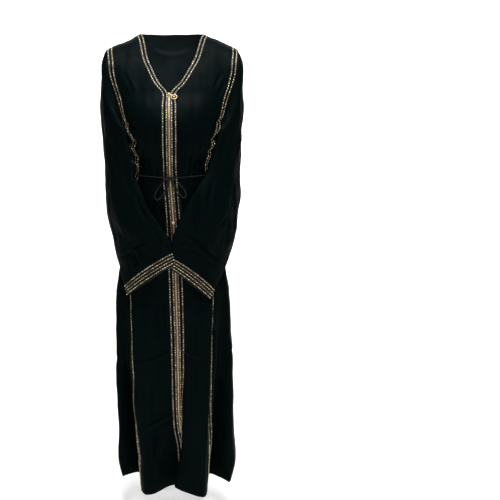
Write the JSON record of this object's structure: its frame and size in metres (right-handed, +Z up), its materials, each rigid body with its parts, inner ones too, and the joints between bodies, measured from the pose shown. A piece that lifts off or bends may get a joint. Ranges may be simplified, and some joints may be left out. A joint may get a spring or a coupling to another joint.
{
  "type": "abaya",
  "caption": "Full-length open-necked robe in worn form, hollow, with front zip, beaded trim, wide empty sleeves crossed at the front and a tied waist cord.",
  "frame": {"origin": "midway between the two shoulder seams at the neck, where the wearer's shoulders hold the garment up", "axes": "+Z up, the front faces -Y, the wearer's left is +X"},
  "size_m": [0.4398, 0.3581, 1.4279],
  "materials": {
    "crepe": "soft black crepe with a faint sheen",
    "beaded_trim": "champagne gold bead and foil rows",
    "zip_tape": "woven tan tape",
    "zip_metal": "polished gold plate",
    "waist_cord": "black cord twisted with silver thread"
  },
  "bodies": {
    "root": {"back": "crepe", "bow_knot": "waist_cord", "bow_loop_left": "waist_cord", "bow_loop_right": "waist_cord", "bow_tail_left": "waist_cord", "bow_tail_right": "waist_cord", "cord_waist": "waist_cord", "front_left": "crepe", "front_right": "crepe", "neck_binding": "crepe", "side_left": "crepe", "side_right": "crepe", "sleeve_left": "crepe", "sleeve_right": "crepe", "trim_cuff_left_1": "beaded_trim", "trim_cuff_left_2": "beaded_trim", "trim_cuff_left_3": "beaded_trim", "trim_cuff_left_4": "beaded_trim", "trim_cuff_right_1": "beaded_trim", "trim_cuff_right_2": "beaded_trim", "trim_cuff_right_3": "beaded_trim", "trim_cuff_right_4": "beaded_trim", "trim_placket_left_inner": "beaded_trim", "trim_placket_left_outer": "beaded_trim", "trim_placket_right_inner": "beaded_trim", "trim_placket_right_outer": "beaded_trim", "trim_princess_left_inner": "beaded_trim", "trim_princess_left_outer": "beaded_trim", "trim_princess_right_inner": "beaded_trim", "trim_princess_right_outer": "beaded_trim", "zip_chain": "zip_metal", "zip_slider_low": "zip_metal", "zip_slider_top": "zip_metal", "zip_tape_left": "zip_tape", "zip_tape_right": "zip_tape"},
    "pull": {"zip_pull": "zip_metal"}
  },
  "joints": [
    {"name": "pull_swing", "type": "hinge", "parent": "root", "child": "pull", "pos_m": [-0.01008, -0.16536, -0.19325], "axis": [-0.6345, -0.4311, -0.6416], "range_deg": [0, 130]}
  ]
}
